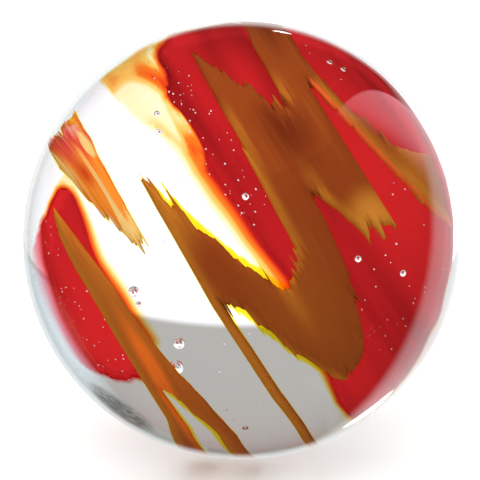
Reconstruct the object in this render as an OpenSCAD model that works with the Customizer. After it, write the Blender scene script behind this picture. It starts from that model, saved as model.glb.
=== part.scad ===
// A clear glass marble with ribbons, a wisp and veils of coloured glass fused inside it.
//
// The origin is the ball's centre, +Z is up and the face with the streaks looks along -Y and a little up.
// All the streaks run one way, so their outlines are drawn as [along, across, bow]:
//   along   down the streaks, towards the lower right
//   across  square to them, towards the upper right
//   bow     how far the edge from this corner to the next swells, a minus sign turning it inwards
// All three are shares of the ball's radius, so the drawing keeps its place on a ball of any size.

/* [Ball] */
// Diameter of the ball
ball_d = 16; // [14:0.5:25]
// Clear glass between the amber ribbons and the ball's surface
skin = 0.3; // [0.15:0.05:0.6]

/* [Coloured glass] */
// Thickness of the amber ribbons
amber_t = 0.5; // [0.3:0.05:0.7]
// Clear glass between the amber ribbons and the orange wisp behind them
wisp_gap = 0.5; // [0.2:0.05:0.8]
// Thickness of the orange wisp
wisp_t = 0.4; // [0.2:0.05:0.6]
// Thickness of the red veils
veil_t = 0.5; // [0.3:0.05:0.8]
// Radius that the red veils are bent to
veil_bend = 8; // [7:0.5:12]
// How far behind the ball's centre the bend of the veils reaches
veil_depth = 3.2; // [2.5:0.1:4]

/* [Lie of the streaks] */
// Angle by which the streaks lean below level
streak_lean = 58; // [40:1:75]
// Angle by which the face with the streaks looks up
face_tilt = 16; // [0:1:30]

/* [Bubbles] */
// Diameter of the large bubbles
large_bubble_d = 0.36; // [0.2:0.02:0.5]
// Diameter of the small bubbles
small_bubble_d = 0.2; // [0.1:0.02:0.3]

/* [Hidden] */
$fn = 96;

ball_r = ball_d / 2;
amber_out = ball_r - skin;
amber_in = amber_out - amber_t;
wisp_out = amber_in - wisp_gap;
wisp_in = wisp_out - wisp_t;
veil_axis = veil_bend - veil_depth;

// Straight pieces that a bowed edge is drawn in
bow_steps = 6;

// The folded ribbon: a spike and a band from the top, two lobes below, a thin strand and an outer band
ribbon_corners = [
    // spike
    [-0.83, 0.24, 0], [0.17, 0.17, -0.015], [0.26, 0.06, -0.02],
    // upper edge of the lower lobe, out to its tip
    [-0.27, -0.14, 0], [-0.33, -0.18, 0], [-0.36, -0.175, 0], [-0.47, -0.235, 0],
    // thin strand, down one side and back up the other
    [0.2, -0.263, 0], [0.64, -0.253, 0], [0.92, -0.225, 0], [0.91, -0.18, 0], [0.6, -0.2, 0], [0.18, -0.208, 0],
    // lower lobe
    [0.27, -0.17, 0.015], [0.71, 0.01, 0.015], [0.74, 0.1, 0.015], [0.65, 0.217, 0.035], [-0.01, 0.358, -0.012],
    // right lobe and its frayed end
    [0.31, 0.46, 0], [0.26, 0.49, 0], [0.34, 0.52, 0], [0.27, 0.55, 0], [0.31, 0.6, 0], [-0.43, 0.597, 0],
    // outer band
    [0.45, 0.774, 0], [0.33, 0.806, 0.01], [0.11, 0.865, 0], [0, 0.775, -0.015], [-0.49, 0.647, 0], [-0.8, 0.61, 0],
    // left edge of the band from the top, down to the notch beside the spike
    [-0.82, 0.48, 0], [-0.38, 0.469, -0.015]
];

// The forked ribbon at the left
fork_corners = [
    [-0.58, -0.61, 0.02], [-0.2, -0.677, 0.005], [0.48, -0.684, 0], [0.68, -0.7, 0],
    [0.74, -0.587, 0], [0.52, -0.612, 0], [0.375, -0.63, 0],
    [0.5, -0.59, 0], [0.82, -0.495, 0], [0.84, -0.43, 0], [0.448, -0.508, -0.015], [-0.1, -0.567, 0]
];

// The striped wisp at the upper left
wisp_corners = [
    [-0.714, -0.437, 0], [-0.6, -0.457, 0.015], [-0.245, -0.39, 0], [-0.165, -0.335, 0],
    [-0.44, -0.32, 0], [-0.6, -0.307, 0], [-0.75, -0.27, 0]
];

// The large veil across the middle, the top and the right
veil_corners = [
    [-0.53, -0.1, 0], [-0.38, -0.065, -0.02], [-0.21, -0.035, 0], [0.14, -0.01, 0], [0.52, -0.03, 0.03],
    [0.48, 0.26, 0.04], [0.17, 0.645, 0.03], [-0.21, 0.695, 0.04], [-0.49, 0.31, 0.01], [-0.545, 0.06, 0]
];

// The patch at the lower left
patch_corners = [
    [-0.39, -0.275, 0.01], [-0.27, -0.595, 0.02], [-0.03, -0.665, 0.035], [0.2, -0.41, 0.01],
    [0.11, -0.305, 0], [-0.14, -0.31, 0]
];

// Bubbles, as [along, across, towards the face]
large_bubbles = [[-0.05, -0.45, 0.45], [0.2, -0.4, 0.4], [0.22, -0.37, -0.05], [-0.12, 0.09, 0.3]];
small_bubbles = [
    [0, -0.46, 0.45], [-0.57, -0.02, 0.35], [-0.5, -0.05, 0.35], [-0.39, 0.63, 0.15], [-0.34, 0.66, 0.15],
    [0.28, 0.32, 0.35], [0.65, -0.39, 0.35], [0.4, 0.42, 0.2]
];

// Points of the edge from one corner to the next, without its far end
function edge(from, to) =
    let (run = [to[0] - from[0], to[1] - from[1]], out = [run[1], -run[0]] / norm(run))
    [for (i = [0 : from[2] == 0 ? 0 : bow_steps - 1])
        let (t = i / bow_steps) [from[0], from[1]] + run * t + out * from[2] * 4 * t * (1 - t)];

// A whole outline in millimetres
function outline(corners) =
    [for (i = [0 : len(corners) - 1]) each ball_r * edge(corners[i], corners[(i + 1) % len(corners)])];

// Turns a drawing of the streaks, with +Z towards the viewer, onto the face of the ball
module on_face() {
    rotate([90 - face_tilt, 0, 0]) rotate([0, 0, -streak_lean]) children();
}

// A streak in the front half, bent to the ball's own roundness
module front_streak(corners, outer, inner) {
    on_face() intersection() {
        linear_extrude(ball_r) polygon(outline(corners));
        difference() {
            sphere(outer);
            sphere(inner);
        }
    }
}

// A veil in the back half, bent round an axis that runs along the streaks
module back_veil(corners) {
    on_face() intersection() {
        translate([0, 0, -ball_r]) linear_extrude(ball_r) polygon(outline(corners));
        translate([0, 0, veil_axis]) rotate([0, 90, 0]) difference() {
            cylinder(h = ball_d, r = veil_bend, center = true);
            cylinder(h = ball_d + 2 * skin, r = veil_bend - veil_t, center = true);
        }
        sphere(amber_out);
    }
}

// Round bubbles of one size
module bubbles(places, diameter) {
    on_face() for (place = places) translate(place * ball_r) sphere(d = diameter);
}

module amber_ribbon() {
    color("sienna") front_streak(ribbon_corners, amber_out, amber_in);
}

module amber_fork() {
    color("peru") front_streak(fork_corners, amber_out, amber_in);
}

module orange_wisp() {
    color("orangered") front_streak(wisp_corners, wisp_out, wisp_in);
}

module red_veil() {
    color("crimson") back_veil(veil_corners);
}

module red_patch() {
    color("firebrick") back_veil(patch_corners);
}

// The clear glass fills the rest of the ball, so each streak lies face to face in its own hollow
module clear_glass() {
    color("azure", 0.3) difference() {
        sphere(ball_r);
        amber_ribbon();
        amber_fork();
        orange_wisp();
        red_veil();
        red_patch();
        bubbles(large_bubbles, large_bubble_d);
        bubbles(small_bubbles, small_bubble_d);
    }
}

clear_glass();
amber_ribbon();
amber_fork();
orange_wisp();
red_veil();
red_patch();
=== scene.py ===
# %% [markdown]
# # A glass marble with ribbons of coloured glass inside
# The real object is one fused ball: clear glass with caramel ribbons, an orange wisp and deep red veils
# in it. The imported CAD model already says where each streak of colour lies, so it is loaded first as a
# fixed frame. Every finished piece then takes its outline, its depth and its size from that frame.

import math
import random

import bmesh
import bpy
import numpy as np
from mathutils import Matrix, Vector, noise
from mathutils.bvhtree import BVHTree


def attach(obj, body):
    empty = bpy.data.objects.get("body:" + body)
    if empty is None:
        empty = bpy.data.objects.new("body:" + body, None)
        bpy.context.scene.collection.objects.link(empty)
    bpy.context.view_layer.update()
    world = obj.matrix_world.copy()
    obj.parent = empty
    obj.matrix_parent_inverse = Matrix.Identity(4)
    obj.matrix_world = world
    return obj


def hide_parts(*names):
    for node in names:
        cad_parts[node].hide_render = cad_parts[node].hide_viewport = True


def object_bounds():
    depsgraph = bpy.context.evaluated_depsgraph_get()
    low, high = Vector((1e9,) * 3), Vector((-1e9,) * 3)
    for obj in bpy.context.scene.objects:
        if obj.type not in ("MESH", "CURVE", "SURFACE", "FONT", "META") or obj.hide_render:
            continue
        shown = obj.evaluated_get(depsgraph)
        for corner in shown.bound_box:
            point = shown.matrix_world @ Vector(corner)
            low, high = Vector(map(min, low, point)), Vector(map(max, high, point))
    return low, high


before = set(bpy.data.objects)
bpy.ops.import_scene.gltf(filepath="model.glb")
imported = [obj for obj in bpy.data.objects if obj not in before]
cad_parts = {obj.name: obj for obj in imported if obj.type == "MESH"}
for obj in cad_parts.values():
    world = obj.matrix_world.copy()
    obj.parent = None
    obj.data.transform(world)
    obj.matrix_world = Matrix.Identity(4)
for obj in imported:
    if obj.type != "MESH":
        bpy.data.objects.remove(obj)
cad_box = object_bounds()
BALL_R = (cad_box[1].z - cad_box[0].z) / 2
MM = 0.001
print("ball radius", round(BALL_R / MM, 3), "mm, nodes", sorted(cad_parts))

# %% [markdown]
# ## The streak frame
# When the hot glass was drawn out, all the colours were pulled one way. It is much easier to draw, cut
# and colour them in axes that follow the pull: X along the streaks, Y across them, Z out of the ball's
# front face. One matrix turns these axes into the ball's own, and its inverse turns a CAD mesh into them.

# %% Axes that follow the pull of the glass
STREAK_LEAN = 58  # degrees below level
FACE_TILT = 16  # degrees that the front face looks up
to_ball = (
    Matrix.Rotation(math.radians(90 - FACE_TILT), 4, "X")
    @ Matrix.Rotation(math.radians(-STREAK_LEAN), 4, "Z")
)
to_streaks = to_ball.inverted()
print("front face looks along", [round(x, 3) for x in to_ball @ Vector((0, 0, 1))])

# %% [markdown]
# ## Reading a streak's outline from its CAD solid
# A streak's CAD solid is a flat drawing pushed straight through a thin shell, so its side walls stand
# square to the drawing. Seen along Z each wall triangle is a short line, and all these lines together are
# the outline. The sphere's own faces near the rim also look like walls, but they point straight away from
# the centre.


# %% The outline and the inside test of one node
UPRIGHT = 0.02  # how far a side wall's normal may tip out of the drawing's plane
STRAIGHT_OUT = 0.998  # cosine past which a face counts as a part of the sphere


class Outline:
    """The outline of a CAD streak, as lines in the streak frame, with a test for inside."""

    def __init__(self, node):
        bm = bmesh.new()
        bm.from_mesh(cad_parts[node].data)
        bmesh.ops.remove_doubles(bm, verts=bm.verts, dist=1e-7)
        bmesh.ops.transform(bm, matrix=to_streaks, verts=bm.verts)
        bm.normal_update()
        lines = set()
        for face in bm.faces:
            upright = abs(face.normal.z) < UPRIGHT
            outward = face.calc_center_median().normalized()
            if upright and abs(face.normal.dot(outward)) < STRAIGHT_OUT:
                ends = [(round(v.co.x, 7), round(v.co.y, 7)) for v in face.verts]
                pairs = [tuple(sorted((ends[i], ends[i - 1]))) for i in range(3)]
                lines.add(max(pairs, key=lambda p: math.dist(*p)))
        self.lines = np.array([line for line in lines if math.dist(*line) > 1e-6])
        self.solid = BVHTree.FromBMesh(bm)
        points = np.array([v.co for v in bm.verts])
        self.low, self.high = points.min(0), points.max(0)
        radii = np.linalg.norm(points, axis=1)
        self.inner, self.outer = radii.min(), radii.max()
        reaches_edge = self.low[2] < 0.1 * BALL_R and self.outer > 0.8 * BALL_R
        self.limb = self.outer if reaches_edge else math.inf
        bm.free()

    def depth(self, x, y):
        """Distance inside the outline, and below 0 outside it, for arrays of places."""
        best = np.full(len(x), np.inf)
        for (x0, y0), (x1, y1) in self.lines:
            dx, dy = x1 - x0, y1 - y0
            t = np.clip(((x - x0) * dx + (y - y0) * dy) / (dx * dx + dy * dy), 0, 1)
            best = np.minimum(best, (x - x0 - t * dx) ** 2 + (y - y0 - t * dy) ** 2)
        best = np.minimum(np.sqrt(best), np.abs(self.limb - np.hypot(x, y)))
        top, down = 2 * BALL_R, Vector((0, 0, -1))
        hit = [self.solid.ray_cast(Vector((a, b, top)), down)[0] is not None for a, b in zip(x, y)]
        return np.where(hit, best, -best)


# %% [markdown]
# ## The five outlines
# Each node gets its outline once, and the printed radii show which shell of the ball it lies in.

# %% Read all the outlines
STREAKS = ["amber_ribbon", "amber_fork", "orange_wisp", "red_veil", "red_patch"]
outlines = {node: Outline(node) for node in STREAKS}
for node, outline in outlines.items():
    print(node, len(outline.lines), "lines, from", round(outline.inner / MM, 2), "to",
          round(outline.outer / MM, 2), "mm from the centre")

# %% [markdown]
# ## Hair-fine frays
# Where a ribbon ends, the pull has drawn its glass into hairs. A fray is therefore a shift of the outline
# along the streak that changes quickly across it: edges that run with the pull stay smooth, and ends turn
# to hairs. `noise.noise` is smooth and always gives the same answer, so the hairs are the same on every
# run.


# %% The shift along the streak at each place
ROUND_LOBE = (0.68, 0.1)  # the thick lobe that the heat has rounded, so it has hardly any hairs
LOBE_REACH, LOBE_SOFT = 0.3, 0.12
HAIRS_END, HAIRS_SOFT = 0.72, 0.14  # hairs fade out from this radius on, over the second number


def hairs(x, y, reach, fineness, seed):
    """How far the outline is pulled along the streak at each place, in metres."""
    shift = []
    for a, b in zip(x / BALL_R, y / BALL_R):
        broad = noise.noise(Vector((a * 1.6, b * fineness * 0.3, seed)))
        fine = noise.noise(Vector((a * 1.1, b * fineness, seed + 5.1)))
        finest = noise.noise(Vector((a * 0.9, b * fineness * 2.4, seed + 9.7)))
        pull = 0.7 * broad + 1.1 * fine + 0.8 * finest
        calm = 1 - min(max((math.hypot(a, b) - HAIRS_END) / HAIRS_SOFT, 0), 1)
        near_lobe = LOBE_REACH - math.dist((a, b), ROUND_LOBE)
        rounded = min(max(near_lobe / LOBE_SOFT, 0), 1)
        shift.append(pull * abs(pull) * calm * (1 - 0.75 * rounded))
    return np.array(shift) * reach


# %% [markdown]
# ## Cutting a sheet to an outline
# `create_grid` gives a sheet that is finer across the streak than along it, as hairs are. A measure is
# worked out at each vertex, above 0 inside. Every edge that it changes sign on is split exactly where it
# is 0, the new vertices are joined across their faces, and what lies outside is deleted, so the rim is
# smooth and not stepped.


# %% Grid, split, join, delete
def cut_sheet(outline, measure, cell):
    """A flat sheet, cut where measure(x, y) is 0. Its swell layer holds the measure."""
    margin = 0.1 * BALL_R
    low = outline.low[:2] - margin
    size = outline.high[:2] + margin - low
    bm = bmesh.new()
    bmesh.ops.create_grid(
        bm, x_segments=int(size[0] / cell[0]), y_segments=int(size[1] / cell[1]), size=0.5
    )
    bmesh.ops.scale(bm, vec=(*size, 1), verts=bm.verts)
    bmesh.ops.translate(bm, vec=(*(low + size / 2), 0), verts=bm.verts)
    places = np.array([v.co for v in bm.verts])
    values = measure(places[:, 0], places[:, 1])
    swell = bm.verts.layers.float.new("swell")
    for vert, value in zip(bm.verts, values):
        vert[swell] = value
    crossing = [e for e in bm.edges if e.verts[0][swell] * e.verts[1][swell] < 0]
    rim = []
    for edge in crossing:
        a, b = edge.verts
        share = min(max(a[swell] / (a[swell] - b[swell]), 0.05), 0.95)
        _, vert = bmesh.utils.edge_split(edge, a, share)
        vert[swell] = 0
        rim.append(vert)
    bmesh.ops.connect_verts(bm, verts=rim)
    bmesh.ops.delete(bm, geom=[v for v in bm.verts if v[swell] < 0], context="VERTS")
    bmesh.ops.delete(bm, geom=[v for v in bm.verts if not v.link_faces], context="VERTS")
    return bm


# %% [markdown]
# ## Painting a value on the sheet
# How deep a place lies inside the outline decides its colour: glass thins out towards an edge and lets
# light through. The value is worked out while the sheet is still flat and is stored at each vertex as an
# attribute.


# %% Store a value at each vertex
def paint(bm, name, value):
    """Stores value(x, y) at each vertex of a flat sheet, for a material to read."""
    layer = bm.verts.layers.float.new(name)
    places = np.array([v.co for v in bm.verts])
    for vert, number in zip(bm.verts, value(places[:, 0], places[:, 1])):
        vert[layer] = number / BALL_R


# %% [markdown]
# ## From a flat sheet to a lens of glass inside the ball
# The sheet is bent onto its shell inside the ball, then copied, and the copy is turned over to be the
# back. Both are pushed apart by a thickness that grows from nothing at the rim, so the two close along
# the rim like a lens. Caramel and orange lie on a sphere just under the surface, and the red veils on a
# deep round bend behind the centre.

# %% Two ways to bend a sheet
VEIL_BEND = BALL_R  # radius of the veils' bend
VEIL_AXIS = 0.6 * BALL_R  # how far the bend's centre lies in front of the ball's
WRAP_FROM = 0.9  # share of the shell's radius past which a sheet is laid round the edge of the ball
WRAP_RATE = 4.0  # radians round the ball for each further share


def on_sphere(x, y, radius, lift):
    """A place on a sphere. Near the edge of the ball the sheet is laid on round it, not pressed flat."""
    reach = max(math.hypot(x, y), 1e-9)
    share = reach / radius
    angle = math.asin(min(share, WRAP_FROM))
    if share > WRAP_FROM:
        angle += (share - WRAP_FROM) * WRAP_RATE
    out = Vector((math.sin(angle) * x / reach, math.sin(angle) * y / reach, math.cos(angle)))
    return out * (radius + lift)


def on_bend(x, y, radius, lift):
    """A place on the round bend that runs along the streaks, behind the ball's centre."""
    bend = radius - lift
    return Vector((x, y * bend / radius, VEIL_AXIS - math.sqrt(bend * bend - y * y)))


print("the veils bend to", round(VEIL_BEND / MM, 2), "mm round an axis", round(VEIL_AXIS / MM, 2), "mm out")


# %% [markdown]
# ## Closing the two sides
# `duplicate` copies the sheet, `reverse_faces` turns the copy over, and `remove_doubles` joins the two
# rims, so the body is closed and all its faces point outwards. The square root gives the rim a round
# edge.


# %% Closing a sheet into a body
def lens(bm, bend, radius, thickness, taper):
    """Bends the sheet, gives it a lens-shaped thickness and closes it along its rim."""
    swell = bm.verts.layers.float["swell"]
    front_faces = list(bm.faces)
    front = list(bm.verts)
    copied = bmesh.ops.duplicate(bm, geom=front + list(bm.edges) + front_faces)
    back = [g for g in copied["geom"] if isinstance(g, bmesh.types.BMVert)]
    back_faces = [g for g in copied["geom"] if isinstance(g, bmesh.types.BMFace)]
    bmesh.ops.reverse_faces(bm, faces=back_faces)
    for verts, side in ((front, 1), (back, -1)):
        for vert in verts:
            grown = min(max(vert[swell], 0) / taper, 1)
            lift = side * thickness / 2 * math.sqrt(grown * (2 - grown))
            vert.co = bend(vert.co.x, vert.co.y, radius, lift)
    rim = [v for v in bm.verts if v.is_boundary]
    bmesh.ops.remove_doubles(bm, verts=rim, dist=1e-8)
    bmesh.ops.transform(bm, matrix=to_ball, verts=bm.verts)
    bm.normal_update()


# %% [markdown]
# ## From mesh to piece
# Every piece rides on the ball's one body, stands for one CAD node, which it hides, and gets its material.


# %% Making the object
def finish_piece(bm, name, node, material):
    """Turns a bmesh into a smooth object that rides on the ball and stands for a CAD node."""
    for face in bm.faces:
        face.smooth = True
    bmesh.ops.triangulate(bm, faces=bm.faces)
    mesh = bpy.data.meshes.new(name)
    bm.to_mesh(mesh)
    open_edges = sum(1 for e in bm.edges if not e.is_manifold)
    bm.free()
    piece = bpy.data.objects.new(name, mesh)
    bpy.context.scene.collection.objects.link(piece)
    mesh.materials.append(material)
    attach(piece, "root")
    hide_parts(node)
    print(name, len(mesh.polygons), "triangles,", open_edges, "open edges")


# %% [markdown]
# ## Shader maths as plain expressions
# A node graph is hard to read as code, so one small class wraps a socket. Sums and products of wrapped
# sockets add Math nodes by themselves, and `node` adds any other node.


# %% The socket wrapper
class Val:
    """A socket in a node tree that can be used in arithmetic."""

    def __init__(self, tree, socket=None):
        self.tree = tree
        self.socket = socket

    def node(self, kind, settings=None, inputs=None, out=0):
        made = self.tree.nodes.new(kind)
        for key, value in (settings or {}).items():
            setattr(made, key, value)
        for key, value in (inputs or {}).items():
            if isinstance(value, Val):
                self.tree.links.new(value.socket, made.inputs[key])
            else:
                made.inputs[key].default_value = value
        return Val(self.tree, made.outputs[out]) if made.outputs else None

    def math(self, operation, *others):
        inputs = {0: self, **{i + 1: other for i, other in enumerate(others)}}
        return self.node("ShaderNodeMath", {"operation": operation}, inputs)

    def __add__(self, other):
        return self.math("ADD", other)

    __radd__ = __add__

    def __mul__(self, other):
        return self.math("MULTIPLY", other)

    __rmul__ = __mul__

    def __sub__(self, other):
        return self.math("SUBTRACT", other)

    def __rsub__(self, other):
        return self.node("ShaderNodeMath", {"operation": "SUBTRACT"}, {0: other, 1: self})

    def __abs__(self):
        return self.math("ABSOLUTE")

    def rise(self, start, end):
        """0 below start and 1 above end, with a smooth step between."""
        settings = {"interpolation_type": "SMOOTHSTEP"}
        return self.node("ShaderNodeMapRange", settings, {0: self, 1: start, 2: end})

    def clamp(self):
        return self.node("ShaderNodeClamp", {}, {0: self})


# %% [markdown]
# ## Mixing colours and shaders
# A Math node would turn a colour grey, so colours go through a Mix node. Glass that lets light through is
# a Transparent shader with a stain, and a Mix Shader goes from one stain to the next, or on to solid
# colour.


# %% Colours and shaders
def tint(factor, low, high):
    """A colour that goes from low to high as factor goes from 0 to 1."""
    ends = {6: low, 7: high}
    colours = {key: end if isinstance(end, Val) else (*end, 1) for key, end in ends.items()}
    return factor.node("ShaderNodeMix", {"data_type": "RGBA"}, {0: factor, **colours}, out=2)


def new_material(name):
    """An empty node material, with a first value to build on."""
    material = bpy.data.materials.new(name)
    material.use_nodes = True
    material.node_tree.nodes.clear()
    return material, Val(material.node_tree)


def surface(shader):
    shader.node("ShaderNodeOutputMaterial", {}, {"Surface": shader})


def blend_shaders(factor, first, second):
    return first.node("ShaderNodeMixShader", {}, {0: factor, 1: first, 2: second})


def see_through(start, colour):
    return start.node("ShaderNodeBsdfTransparent", {}, {"Color": (*colour, 1)})


def solid_glass(start, colour, roughness):
    """Glass too full of colour for light to pass. It has no gloss: only the ball's surface shines."""
    inputs = {"Base Color": colour, "Roughness": roughness, "Specular IOR Level": 0.0}
    return start.node("ShaderNodeBsdfPrincipled", {}, inputs)


# %% [markdown]
# ## Patterns that follow the pull
# The pull draws every shade of colour into a long streak. A Mapping node turns Object coordinates to the
# streak frame, and noise is squeezed far more across the streaks than along them. Spots lighten or darken
# one place.


# %% Streak coordinates in a material
def streak_place(start):
    """Object coordinates turned to the streak frame, in shares of the ball's radius."""
    place = start.node("ShaderNodeTexCoord", out="Object")
    turn = (math.radians(FACE_TILT - 90), 0, math.radians(STREAK_LEAN))
    share = (1 / BALL_R,) * 3
    return start.node("ShaderNodeMapping", {}, {"Vector": place, "Rotation": turn, "Scale": share})


def part_of(place, axis):
    return place.node("ShaderNodeSeparateXYZ", {}, {0: place}, out=axis)


def stretched_noise(place, along, across, detail, seed):
    """Noise drawn out along the streaks: so many patches in a radius along and across."""
    inputs = {"Vector": place, "Scale": (along, across, 0), "Location": (seed, 0, seed)}
    drawn = place.node("ShaderNodeMapping", {}, inputs)
    return place.node("ShaderNodeTexNoise", {}, {"Vector": drawn, "Scale": 1.0, "Detail": detail})


def painted(start, name):
    """A value painted on a piece's vertices, in shares of the ball's radius."""
    return start.node("ShaderNodeAttribute", {"attribute_name": name}, out="Fac")


def spot(place, centre, reach):
    """1 at a centre in the streak frame, fading to 0 at its reach along and across."""
    moved = place.node("ShaderNodeVectorMath", {"operation": "SUBTRACT"}, {0: place, 1: (*centre, 0)})
    share = (1 / reach[0], 1 / reach[1], 0)
    scaled = place.node("ShaderNodeVectorMath", {"operation": "MULTIPLY"}, {0: moved, 1: share})
    far = place.node("ShaderNodeVectorMath", {"operation": "LENGTH"}, {0: scaled}, out="Value")
    return 1 - far.rise(0.0, 1.0)


def spots(place, wanted):
    """Spots added up, each given as its centre, its reach and its strength."""
    return sum(spot(place, centre, reach) * strength for centre, reach, strength in wanted)


# %% [markdown]
# ## Caramel glass
# Caramel glass is nearly solid, ochre where it is thin and dark brown where it has folded over on itself.
# Soft pools are dark. One edge of each ribbon is painted light: it is coloured lighter, as if lit from that
# side. `glow` places light spots and `pools` dark ones. The end of one lobe is lightest of all, and the web
# of glass in the crotch of the fork is orange.


# %% Caramel glass
OCHRE, CARAMEL, BROWN = (0.6, 0.2, 0.022), (0.33, 0.062, 0.0115), (0.17, 0.024, 0.006)
LIGHT_OCHRE, WEB_ORANGE, THREAD_RED = (0.78, 0.3, 0.04), (0.98, 0.2, 0.022), (0.85, 0.13, 0.03)
LOBE_END = [((0.22, 0.54), (0.18, 0.13), 0.9)]
WEB = [((0.25, -0.625), (0.35, 0.05), 1.3), ((0.5, -0.635), (0.3, 0.04), 1.0)]
BAND_SLOPE = 0.203  # how far across the outer band drifts for each step along
THREAD_PLACE = 0.695  # where a thread of orange glass runs, just inside the outer band's lower edge


def caramel_glass(name, base, glow, pools, lit_edge_from):
    """Nearly solid caramel glass. Painted light on one edge starts at lit_edge_from along the streak."""
    material, start = new_material(name)
    place = streak_place(start)
    inside, lit_edge_depth = painted(start, "inside"), painted(start, "lit_edge_depth")
    flow = stretched_noise(place, 1.4, 7, 4, 0.0)
    fibres = stretched_noise(place, 2.0, 55, 3, 4.0)
    # Painted light: past lit_edge_from along the streak, the band beside one edge is coloured lighter, as
    # if lit.
    light = 1 - (lit_edge_depth + 0.02 * flow - 0.01).rise(-0.03, 0.03)
    light = light * part_of(place, "X").rise(lit_edge_from, lit_edge_from + 0.2)
    light = (light + spots(place, glow) + 0.25 * (flow - 0.5)).clamp()
    colour = tint(light, base, OCHRE)
    dark = (spots(place, pools) + 0.5 * (flow - 0.5)).clamp() * inside.rise(0.0, 0.09)
    colour = tint(dark, colour, BROWN)
    colour = tint(fibres.rise(0.5, 0.8) * 0.14, colour, OCHRE)
    beside = abs(painted(start, "across_band") - THREAD_PLACE)
    thread = (1 - beside.rise(0.004, 0.008)) * part_of(place, "X").rise(-0.46, -0.4)
    colour = tint(thread, colour, THREAD_RED)
    colour = tint(spots(place, LOBE_END).clamp(), colour, LIGHT_OCHRE)
    colour = tint(spots(place, WEB).clamp() * (0.5 + flow), colour, WEB_ORANGE)
    surface(solid_glass(start, colour, 0.45))
    return material


RIBBON_GLOW = [
    ((0.24, 0.54), (0.2, 0.16), 1.0), ((-0.26, -0.2), (0.3, 0.1), 0.8), ((0.1, 0.82), (0.4, 0.1), 0.7),
    ((0.3, 0.76), (0.25, 0.08), 0.8), ((0.45, -0.22), (0.6, 0.06), 0.45), ((0.3, 0.05), (0.3, 0.06), 0.5),
    ((0.0, 0.4), (0.25, 0.05), 0.5), ((0.4, 0.08), (0.6, 0.3), 0.24),
]
RIBBON_POOLS = [((-0.32, 0.42), (0.3, 0.16), 0.95), ((-0.75, 0.57), (0.25, 0.14), 0.8)]
FORK_BASE = (0.47, 0.105, 0.016)
FORK_GLOW = [((-0.15, -0.62), (0.6, 0.08), 0.5), ((0.2, -0.55), (0.4, 0.08), 0.3)]
FORK_POOLS = [((0.8, -0.46), (0.35, 0.07), 0.6), ((0.7, -0.69), (0.2, 0.05), 0.5)]
ribbon_glass = caramel_glass("caramel_glass", CARAMEL, RIBBON_GLOW, RIBBON_POOLS, -0.6)
fork_glass = caramel_glass("light_caramel_glass", FORK_BASE, FORK_GLOW, FORK_POOLS, -2.0)
print("caramel glass with", len(RIBBON_GLOW), "light places and", len(RIBBON_POOLS), "dark pools")

# %% [markdown]
# ## The thin edge of a ribbon
# Right at its edge caramel glass is so thin that light comes through it, and the white behind makes it
# shine. Three stains follow each other inwards within a twentieth of the radius: nearly clear, yellow and
# orange.


# %% Thin yellow edges
def thin_edge_glass():
    """See-through glass that goes from nearly clear to orange with the painted depth."""
    material, start = new_material("caramel_thin_glass")
    inside = painted(start, "inside")
    clear = see_through(start, (1.0, 0.98, 0.75))
    yellow = see_through(start, (1.0, 0.88, 0.12))
    orange = see_through(start, (0.96, 0.66, 0.08))
    thin = blend_shaders(inside.rise(0.0, 0.01), clear, yellow)
    surface(blend_shaders(inside.rise(0.016, 0.045), thin, orange))
    return material


edge_glass = thin_edge_glass()
print("edge glass has", len(edge_glass.node_tree.nodes), "nodes")

# %% [markdown]
# ## Orange wisp glass
# The wisp is a bundle of stripes: red at the top, orange in the middle, and pale where its lower end runs
# out. Two noises give broad and fine stripes, and the pale stripes let some of the white behind come
# through.


# %% Orange glass
def orange_glass():
    """Striped glass, red at its top end and pale towards the lower one."""
    material, start = new_material("orange_glass")
    place = streak_place(start)
    along = part_of(place, "X")
    stripes = stretched_noise(place, 1.3, 30, 4, 2.0)
    fine = stretched_noise(place, 1.8, 85, 3, 7.0)
    red, orange, cream = (0.84, 0.075, 0.06), (0.97, 0.28, 0.03), (1.0, 0.68, 0.24)
    dark_red, brown = (0.72, 0.05, 0.012), (0.74, 0.11, 0.01)
    colour = tint((along + 0.4 * (stripes - 0.5)).rise(-0.71, -0.58), red, orange)
    colour = tint(spots(place, [((-0.57, -0.4), (0.09, 0.035), 0.95)]), colour, dark_red)
    colour = tint(fine.rise(0.5, 0.62) * 0.6, colour, brown)
    gap = spots(place, [((-0.66, -0.33), (0.07, 0.025), 0.5)])
    pale = (stripes + gap + 0.3 * along.rise(-0.5, -0.15) - 0.05).rise(0.5, 0.6)
    colour = tint(pale, colour, cream)
    body = solid_glass(start, colour, 0.4)
    thin = see_through(start, (1.0, 0.86, 0.5))
    end = (along + 0.15 * (fine - 0.5)).rise(-0.76, -0.66)
    glass = blend_shaders(1 - pale * 0.35, thin, body)
    surface(blend_shaders(end * 0.8 + 0.2, see_through(start, (1.0, 0.8, 0.8)), glass))
    return material


wisp_glass = orange_glass()
print("wisp glass has", len(wisp_glass.node_tree.nodes), "nodes")

# %% [markdown]
# ## Red glass
# Where a veil is thick it is solid red, scarlet in some places and deeper in broad bands along the pull. In
# the big veil the scarlet is partly its own colour and partly painted light, lightening red shaded near the
# ball's edge.
# Towards its edge it thins out through orange and yellow to clear. Those are see-through stains, each a
# short step of the painted depth, and a second set in pink serves for the far side of the patch, whose
# rim is milky.

# %% Red glass
SOLID_FROM = 0.062  # depth of colour, as a share of the radius, at which red glass is solid
ORANGE_STAINS = [(1.0, 0.94, 0.72), (0.99, 0.74, 0.34), (0.95, 0.42, 0.12), (0.9, 0.22, 0.1)]
PINK_STAINS = [(1.0, 0.95, 0.94), (0.98, 0.8, 0.82), (0.95, 0.55, 0.6), (0.92, 0.3, 0.32)]
STAIN_STEP = 0.0125
SCARLET, RED, DEEP_RED = (0.86, 0.026, 0.03), (0.72, 0.02, 0.025), (0.42, 0.012, 0.015)
MILKY_RED = (0.9, 0.14, 0.11)
BLOOM = [((-0.1, -0.555), (0.28, 0.055), 0.9)]  # where the patch is milky with seeds


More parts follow.
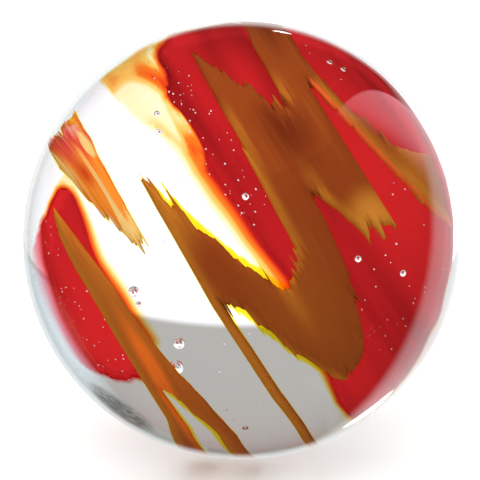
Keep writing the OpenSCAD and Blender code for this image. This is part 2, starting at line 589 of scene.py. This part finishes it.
def red_colour(place, scarlet_and_lit_spots):
    """Red in deep and clear bands along the pull, scarlet spots (partly painted light) and the milky bloom.
    """
    flow = stretched_noise(place, 0.7, 6, 2, 6.0)
    fine = stretched_noise(place, 1.2, 24, 3, 1.0)
    colour = tint((0.75 * flow + 0.25 * fine).rise(0.4, 0.62), RED, DEEP_RED)
    # Scarlet spots: the glass's own colour, and in the big veil partly painted light.
    colour = tint(spots(place, scarlet_and_lit_spots).clamp(), colour, SCARLET)
    return tint((spots(place, BLOOM) * (0.2 + 1.2 * fine)).clamp(), colour, MILKY_RED)


def solid_red(name, scarlet_and_lit_spots):
    """The glass of a veil's core."""
    material, start = new_material(name)
    place = streak_place(start)
    surface(solid_glass(start, red_colour(place, scarlet_and_lit_spots), 0.5))
    return material


def soft_red(name, scarlet_and_lit_spots, pink_side):
    """The glass of a veil's skirt, from clear to solid. It is pink where Y is below pink_side."""
    material, start = new_material(name)
    place = streak_place(start)
    depth = painted(start, "depth")
    pink = 1 - part_of(place, "Y").rise(*pink_side)
    shade = see_through(start, (1, 1, 1))
    for step, (orange_stain, pink_stain) in enumerate(zip(ORANGE_STAINS, PINK_STAINS)):
        stain = blend_shaders(pink, see_through(start, orange_stain), see_through(start, pink_stain))
        begin = STAIN_STEP * step
        shade = blend_shaders(depth.rise(begin, begin + STAIN_STEP), shade, stain)
    body = solid_glass(start, red_colour(place, scarlet_and_lit_spots), 0.5)
    surface(blend_shaders(depth.rise(SOLID_FROM - 0.016, SOLID_FROM - 0.002), shade, body))
    return material


# Scarlet spots on the big veil, partly painted light: the first reaches out to lighten red shaded near the
# ball's edge.
VEIL_SCARLET_AND_LIT = [
    ((0.1, 0.42), (0.5, 0.28), 1.1), ((-0.34, 0.23), (0.2, 0.08), 0.8), ((-0.3, 0.12), (0.2, 0.05), 0.3),
]
PATCH_BRIGHT = [((0.05, -0.42), (0.36, 0.26), 1.3)]
veil_glass = solid_red("red_veil_glass", VEIL_SCARLET_AND_LIT)
veil_edge_glass = soft_red("red_veil_thin_glass", VEIL_SCARLET_AND_LIT, (-0.9, -0.8))
patch_glass = solid_red("red_patch_glass", PATCH_BRIGHT)
patch_edge_glass = soft_red("red_patch_thin_glass", PATCH_BRIGHT, (-0.48, -0.36))
print("red glass fades over", round(SOLID_FROM * BALL_R / MM, 2), "mm")

# %% [markdown]
# ## Clear glass
# The ball is polished soda glass: a Principled shader with full transmission and an index of 1.52. Cycles
# would leave the inside dark, because light can't find its way through a lens by chance, so for shadow
# rays the glass is plain see-through and the soft light reaches the colours.


# %% Clear glass
GLASS_IOR = 1.52


def clear_glass():
    """Polished glass for what the camera sees, and plain see-through for shadow rays."""
    material, start = new_material("clear_glass_polish")
    polish = {"Roughness": 0.0, "IOR": GLASS_IOR, "Transmission Weight": 1.0}
    polish["Base Color"] = (0.985, 0.995, 1.0, 1)
    glass = start.node("ShaderNodeBsdfPrincipled", {}, polish)
    shadow = start.node("ShaderNodeLightPath", out="Is Shadow Ray")
    surface(blend_shaders(shadow, glass, see_through(start, (0.97, 0.98, 0.98))))
    return material


# %% [markdown]
# ## The caramel and orange streaks
# Each streak is two pieces. The core is solid glass, cut where the measure passes the width of the clear
# margin, and swells to the CAD's thickness. The thin edge is a narrow band round it. THIN_SPOTS says
# where along the ribbons the margin is wide: as along, across, reach along, reach across and width, all
# shares of the radius.

# %% Streak helpers
FINE = (0.16 * MM, 0.032 * MM)  # grid for hairs: longer along the pull than across it
HAIR_FINENESS = 75
INSET = 0.004  # how far the core stays inside the outline everywhere, as a share of the radius
# The width of the painted light along one edge of a ribbon, as a share of the radius.
LIT_EDGE_SHIFT = 0.03  # how wide the light lee of a ribbon is, as a share of the radius
EDGE_OVERLAP = 0.02  # how far the thin edge reaches under the core, as a share of the radius
EDGE_THICK = 0.1 * MM
THIN_SPOTS = [
    (0.02, -0.03, 0.16, 0.06, 0.026), (0.19, 0.03, 0.12, 0.06, 0.03), (-0.2, -0.12, 0.14, 0.06, 0.026),
    (-0.34, -0.17, 0.08, 0.03, 0.02), (0.05, -0.18, 0.1, 0.03, 0.016), (0.3, -0.16, 0.1, 0.05, 0.018),
    (0.45, -0.12, 0.12, 0.05, 0.022), (0.62, -0.05, 0.12, 0.06, 0.016), (0.5, -0.6, 0.14, 0.03, 0.014),
    (0.72, -0.56, 0.16, 0.04, 0.026),
]


def frayed(outline, reach, fineness, seed):
    """A measure of depth whose outline is drawn into hairs."""
    return lambda x, y: outline.depth(x - hairs(x, y, reach, fineness, seed), y)


def margin_width(x, y):
    """How wide the clear yellow margin of a ribbon is at each place, in metres."""
    width = np.zeros(len(x))
    for along, across, reach_along, reach_across, most in THIN_SPOTS:
        far = np.hypot((x / BALL_R - along) / reach_along, (y / BALL_R - across) / reach_across)
        width = np.maximum(width, most * np.clip(1.4 - far, 0, 1))
    return (INSET + width) * BALL_R


def streak(name, node, reach, seed, material):
    """Makes the core and the thin edge of one streak."""
    outline = outlines[node]
    middle = (outline.inner + outline.outer) / 2
    thick = outline.outer - outline.inner
    rim = frayed(outline, reach * BALL_R, HAIR_FINENESS, seed)
    core = cut_sheet(outline, lambda x, y: rim(x, y) - margin_width(x, y), FINE)
    paint(core, "inside", rim)
    # Depth measured a little across, for the painted light along one edge.
    paint(core, "lit_edge_depth", lambda x, y: rim(x, y - LIT_EDGE_SHIFT * BALL_R))
    paint(core, "across_band", lambda x, y: y - BAND_SLOPE * x)
    lens(core, on_sphere, middle, thick, thick)
    finish_piece(core, name, node, material)

    def band(x, y):
        deep = rim(x, y)
        return np.minimum(deep, EDGE_OVERLAP * BALL_R + margin_width(x, y) - deep)

    edge = cut_sheet(outline, band, FINE)
    paint(edge, "inside", rim)
    lens(edge, on_sphere, middle, EDGE_THICK, EDGE_THICK)
    finish_piece(edge, name + "_thin_edge", node, edge_glass)


print("margins are wide at", len(THIN_SPOTS), "places")


# %% [markdown]
# ## The three streaks
# The last numbers are the reach of the hairs, as a share of the radius, and the seed of their noise. The
# wisp is drawn out furthest.

# %% Ribbon, fork and wisp
streak("caramel_ribbon", "amber_ribbon", 0.075, 1.0, ribbon_glass)
streak("caramel_fork", "amber_fork", 0.04, 2.0, fork_glass)
streak("orange_wisp_glass", "orange_wisp", 0.13, 3.0, wisp_glass)

# %% [markdown]
# ## The depth of colour in a veil
# The depth starts from the distance inside the outline. Near the ball's edge the clear glass magnifies
# what is behind it, so there the fade is made steeper. A few zones hold the depth low, where the veil is
# torn thin and mottled in yellow and orange: each is a centre, a reach along and across, and the depth
# that it holds.

# %% Depth of colour
SOFT = (0.09 * MM, 0.09 * MM)  # grid for the veils, which have no hairs
TORN_ZONES = {
    "red_veil": [
        (-0.55, -0.04, 0.22, 0.17, 0.04), (-0.37, -0.045, 0.13, 0.085, 0.013),
        (-0.31, 0.012, 0.12, 0.04, 0.034), (0.495, -0.05, 0.06, 0.045, 0.004),
    ],
    "red_patch": [(-0.45, -0.25, 0.15, 0.1, 0.012)],
}
STEEP_FROM, STEEP_OVER, STEEPER = 0.28, 0.27, 2.5  # where the fade gets steeper, over how far, by how much
FADE_FROM = {"red_veil": 2.0, "red_patch": 0.655}  # radius past which a veil has no colour, as a share


def mottle(x, y, seed):
    """Soft noise from about -1 to 1 at each place, a little longer along the streak."""
    places = zip(x / BALL_R, y / BALL_R)
    return np.array([noise.noise(Vector((a * 9, b * 16, seed))) for a, b in places])


def colour_depth(node, seed):
    """How deep the colour of a veil is at each place, in metres and below 0 outside it."""
    rim = frayed(outlines[node], 0.012 * BALL_R, 14, seed)

    def depth(x, y):
        patches = mottle(x, y, seed)
        radius = np.hypot(x, y) / BALL_R
        out = np.clip((radius - STEEP_FROM) / STEEP_OVER, 0, 1)
        steep = 1 + STEEPER * out * out * (3 - 2 * out)
        grown = (rim(x, y) / BALL_R + 0.008 * patches) * steep
        near_edge = FADE_FROM[node] + 0.012 * patches - radius
        grown = np.minimum(grown, 0.5 * near_edge)
        for along, across, reach_along, reach_across, held in TORN_ZONES[node]:
            far = np.hypot((x / BALL_R - along) / reach_along, (y / BALL_R - across) / reach_across)
            share = np.clip((1 - far + 0.25 * patches) * 4, 0, 1)
            torn = grown * (1 - share) + held * (1 + 1.2 * patches) * share
            grown = np.minimum(grown, torn)
        return grown * BALL_R

    return depth


print("torn zones", {node: len(zones) for node, zones in TORN_ZONES.items()})


# %% [markdown]
# ## The red veils
# A veil is made like a streak: a solid core as thick as the CAD's, where the colour is deep, and round it
# a thin skirt that fades out. The skirt is nearly a film, because a thick one would show its own unlit
# inside.


# %% Veils
VEIL_THICK, SKIRT_THICK = 0.5 * MM, 0.04 * MM


def veil(node, seed, material, edge_material):
    """Makes the solid core and the fading skirt of one veil."""
    depth = colour_depth(node, seed)
    solid = SOLID_FROM * BALL_R
    middle = VEIL_BEND - VEIL_THICK / 2
    core = cut_sheet(outlines[node], lambda x, y: depth(x, y) - solid, SOFT)
    lens(core, on_bend, middle, VEIL_THICK, 2 * VEIL_THICK)
    finish_piece(core, node + "_glass", node, material)

    def band(x, y):
        deep = depth(x, y)
        return np.minimum(deep, 1.3 * solid - deep)

    skirt = cut_sheet(outlines[node], band, SOFT)
    paint(skirt, "depth", depth)
    lens(skirt, on_bend, middle, SKIRT_THICK, 0.1 * MM)
    finish_piece(skirt, node + "_thin_edge", node, edge_material)


veil("red_veil", 4.0, veil_glass, veil_edge_glass)
veil("red_patch", 4.0, patch_glass, patch_edge_glass)

# %% [markdown]
# ## Bubbles in the clear glass
# The twelve bubbles of the CAD model come first, as small spheres in a mesh of their own. All the hollows
# are gathered there, because an operator on a mesh looks through every face of it, and the ball itself
# has very many. The bubble in front of the veil's middle, a large one in the CAD model, is drawn at the
# small size, which suits the seeds round it better.

# %% The larger bubbles
LARGE_BUBBLES = [(-0.05, -0.45, 0.45), (0.2, -0.4, 0.4), (0.22, -0.37, -0.05)]
SMALL_BUBBLES = [
    (-0.12, 0.09, 0.3), (0, -0.46, 0.45), (-0.57, -0.02, 0.35), (-0.5, -0.05, 0.35), (-0.39, 0.63, 0.15),
    (-0.34, 0.66, 0.15), (0.28, 0.32, 0.35), (0.65, -0.39, 0.35), (0.4, 0.42, 0.2),
]
hollows = bmesh.new()
for places, diameter in ((LARGE_BUBBLES, 0.36 * MM), (SMALL_BUBBLES, 0.2 * MM)):
    for place in places:
        at = to_ball @ Matrix.Translation(Vector(place) * BALL_R)
        bmesh.ops.create_icosphere(hollows, subdivisions=4, radius=diameter / 2, matrix=at)
print("bubbles", len(LARGE_BUBBLES) + len(SMALL_BUBBLES))

# %% [markdown]
# ## Seeds
# Glassmakers call the tiniest bubbles seeds. They are too small for the CAD model and too many to place
# by hand, so each group is a box in the streak frame with a count. Each seed is a sphere of a few dozen
# faces, drawn out a little along the pull. A fixed random seed gives the same seeds on every run.

# %% Tiny seed bubbles
random.seed(7)
SEED_GROUPS = [  # lowest and highest corner, how many, smallest and largest diameter in mm
    ((-0.5, -0.78, 0.0), (0.2, -0.52, 0.3), 110, 0.016, 0.045),
    ((-0.78, 0.02, 0.1), (-0.05, 0.15, 0.4), 60, 0.016, 0.05),
    ((-0.6, -0.3, 0.3), (0.3, 0.1, 0.6), 16, 0.025, 0.06),
    ((0.1, 0.4, 0.1), (0.6, 0.75, 0.4), 18, 0.03, 0.065),
    ((-0.6, 0.45, 0.2), (-0.2, 0.7, 0.5), 14, 0.03, 0.07),
    ((0.3, -0.6, 0.1), (0.7, -0.2, 0.5), 12, 0.025, 0.065),
    ((0.35, 0.2, 0.2), (0.7, 0.4, 0.5), 14, 0.03, 0.065),
]


def seed_bubble(matrix, diameter, stretch):
    """A tiny hollow, stretched along the matrix's X."""
    shape = matrix @ Matrix.Diagonal((stretch, 1, 1, 1))
    bmesh.ops.create_uvsphere(hollows, u_segments=8, v_segments=6, radius=diameter / 2, matrix=shape)


for low, high, count, smallest, largest in SEED_GROUPS:
    for _ in range(count):
        place = Vector([random.uniform(a, b) for a, b in zip(low, high)])
        size = random.uniform(smallest, largest) * MM
        at = to_ball @ Matrix.Translation(place * BALL_R)
        seed_bubble(at, size, random.uniform(1.0, 1.5))
print("seeds", sum(group[2] for group in SEED_GROUPS))

# %% [markdown]
# ## Scratches
# A scratch in glass is a row of tiny cracks just under the surface, which catch the light. Each scratch
# runs from one place in the streak frame to another, and its slivers are long thin seeds laid end to end
# along it.

# %% Scratches
SCRATCHES = [((0.685, 0.02), (0.655, 0.335)), ((0.66, 0.16), (0.64, 0.3)), ((0.3, -0.03), (0.33, -0.05))]
SLIVER = 0.03  # room for each sliver, as a share of the radius
SLIVER_THICK = 0.016 * MM
UNDER_SURFACE = 0.99
slivers = 0
for ends in SCRATCHES:
    begin, end = (Vector(corner) for corner in ends)
    steps = max(int((end - begin).length / SLIVER), 2)
    lean = Matrix.Rotation(math.atan2(*(end - begin).yx), 4, "Z")
    for i in range(steps):
        x, y = begin.lerp(end, (i + 0.5) / steps) * UNDER_SURFACE
        place = Vector((x, y, math.sqrt(UNDER_SURFACE ** 2 - x * x - y * y)))
        upright = Vector((0, 0, 1)).rotation_difference(place).to_matrix().to_4x4()
        at = to_ball @ Matrix.Translation(place * BALL_R) @ upright @ lean
        seed_bubble(at, SLIVER_THICK, random.uniform(8, 14))
        slivers += 1
print("slivers", slivers)

# %% [markdown]
# ## The clear ball
# The ball is an icosphere, whose triangles are all nearly alike, fine enough for smooth reflections. The
# hollows are turned inside out, so that their faces point out of the glass, and are then added to the
# ball's mesh.

# %% The ball with its hollows
bmesh.ops.reverse_faces(hollows, faces=hollows.faces)
inside_out = bpy.data.meshes.new("hollows")
hollows.to_mesh(inside_out)
hollows.free()
ball = bmesh.new()
bmesh.ops.create_icosphere(ball, subdivisions=7, radius=BALL_R)
ball.from_mesh(inside_out)
bpy.data.meshes.remove(inside_out)
finish_piece(ball, "clear_ball", "clear_glass", clear_glass())

# %% [markdown]
# ## The floor
# A marble is looked at on plain white paper. The floor is a wide disk under the lowest point of the ball.
# It is hidden from rays that the ball reflects or bends, because what those show comes from the studio's
# surroundings.

# %% Floor
bm = bmesh.new()
bmesh.ops.create_circle(bm, cap_ends=True, segments=128, radius=3)
bmesh.ops.translate(bm, vec=(0, 0, cad_box[0].z), verts=bm.verts)
mesh = bpy.data.meshes.new("floor")
bm.to_mesh(mesh)
bm.free()
floor = bpy.data.objects.new("floor", mesh)
bpy.context.scene.collection.objects.link(floor)
paper, start = new_material("pale_floor")
surface(solid_glass(start, (0.88, 0.88, 0.88, 1), 0.9))
mesh.materials.append(paper)
floor.visible_glossy = False
floor.visible_transmission = False
print("floor at", round(cad_box[0].z / MM, 2), "mm")

# %% [markdown]
# ## What the ball sees
# A polished ball shows its surroundings twice: upside down through the glass, and as faint mirror images
# on its surface. Both are painted on the world with soft-edged caps. A cap is the part of the sky within
# some angle of a direction, and `seen` gives a direction as it lies for someone who looks at the ball's
# face.

# %% Directions and caps
RIGHT = Vector((1, 0, 0))
UP = Vector((0, math.sin(math.radians(FACE_TILT)), math.cos(math.radians(FACE_TILT))))
FRONT = Vector((0, -math.cos(math.radians(FACE_TILT)), math.sin(math.radians(FACE_TILT))))
world = bpy.data.worlds.new("studio")
bpy.context.scene.world = world
world.use_nodes = True
world.node_tree.nodes.clear()
start = Val(world.node_tree)
direction = start.node("ShaderNodeTexCoord", out="Generated")


def seen(right, up, front):
    return (RIGHT * right + UP * up + FRONT * front).normalized()


def cap(centre, edge_from, edge_to):
    """1 in a cap round a direction. The edges are cosines of the angle from it."""
    inputs = {0: direction, 1: tuple(centre)}
    near = start.node("ShaderNodeVectorMath", {"operation": "DOT_PRODUCT"}, inputs, out="Value")
    return near.rise(edge_from, edge_to)


# %% [markdown]
# ## The room and the mirror images
# Through the glass there are only a white table, a grey room above it, a pale window to the right and
# some dark clutter behind. The mirror images are a bright backdrop that lights the right rim, a pink haze
# beside it, and two small glints. Cycles calls bent rays glossy too, so a mirror ray is glossy and not a
# transmission ray.

# %% World
GLINT = (7, 7, 7)
level = Vector((0, 0, 1))
room = tint(cap(level, -0.03, 0.004), (1.25, 1.27, 1.3), (0.5, 0.5, 0.475))
window = cap(Vector((1, 0.1, 0.1)).normalized(), 0.6, 0.85) * cap(level, -0.02, 0.02)
room = tint(window, room, (0.95, 1.08, 1.15))
grain = start.node("ShaderNodeTexNoise", {}, {"Vector": direction, "Scale": 28.0, "Detail": 4.0})
clutter = cap(Vector((0.53, 0.6, 0.6)).normalized(), 0.98, 0.995) * (0.35 + 0.5 * grain.rise(0.3, 0.6))
room = tint(clutter, room, (0.07, 0.068, 0.055))
haze = cap(seen(0.927, -0.375, 0.007), 0.245, 0.262) * cap(seen(0, 1, -1), 0.52, 0.74)
mirror = tint(cap(seen(0, 0, -1), 0.86, 0.95), (0.02, 0.02, 0.02), (0.95, 1.0, 1.0))
mirror = tint(haze, mirror, (2.1, 1.1, 1.25))
mirror = tint(cap(seen(0.561, -0.115, -0.82), 0.845, 0.925), mirror, (1.42, 1.38, 1.43))
mirror = tint(cap(seen(0.291, -0.389, -0.874), 0.997, 0.9985), mirror, GLINT)
mirror = tint(cap(seen(0.1, 0.518, -0.85), 0.9996, 0.9999), mirror, GLINT)
through = start.node("ShaderNodeLightPath", out="Is Transmission Ray")
is_mirror = start.node("ShaderNodeLightPath", out="Is Glossy Ray") * (1 - through)
surroundings = tint(is_mirror, room, mirror)
background = start.node("ShaderNodeBackground", {}, {"Color": surroundings, "Strength": 1.0})
start.node("ShaderNodeOutputWorld", {}, {"Surface": background})
print("world has", len(world.node_tree.nodes), "nodes")

# %% [markdown]
# ## The light
# One very wide sun stands for a large soft light above. It is hidden from mirror and bent rays, so it
# lights the colours and the paper without a second image of itself.

# %% Soft light
sun = bpy.data.lights.new("soft_light", "SUN")
sun.energy = 3.6
sun.angle = math.radians(90)
lamp = bpy.data.objects.new("soft_light", sun)
lamp.rotation_euler = (math.radians(15), math.radians(-10), 0)
lamp.visible_glossy = False
lamp.visible_transmission = False
bpy.context.scene.collection.objects.link(lamp)
print("sun energy", sun.energy)

# %% [markdown]
# ## The camera
# A long lens from far away gives almost no perspective, as in a close-up of a small thing. The distance
# follows from how much of the frame the ball fills. A sphere's seen edge is a cone that touches it, hence
# the sine.

# %% Camera
BALL_IN_FRAME = 0.9125
camera = bpy.data.objects.new("camera", bpy.data.cameras.new("camera"))
bpy.context.scene.collection.objects.link(camera)
bpy.context.scene.camera = camera
camera.data.lens = 400
half_frame = camera.data.sensor_width / 2 / camera.data.lens
distance = BALL_R / math.sin(math.atan(BALL_IN_FRAME * half_frame))
camera.location = FRONT * distance
camera.rotation_mode = "QUATERNION"
camera.rotation_quaternion = (-FRONT).to_track_quat("-Z", "Y")
camera.data.shift_x = -0.004
camera.data.clip_start, camera.data.clip_end = 0.001, 10
bpy.context.scene.view_settings.view_transform = "Standard"
print("camera", round(distance, 3), "m away")
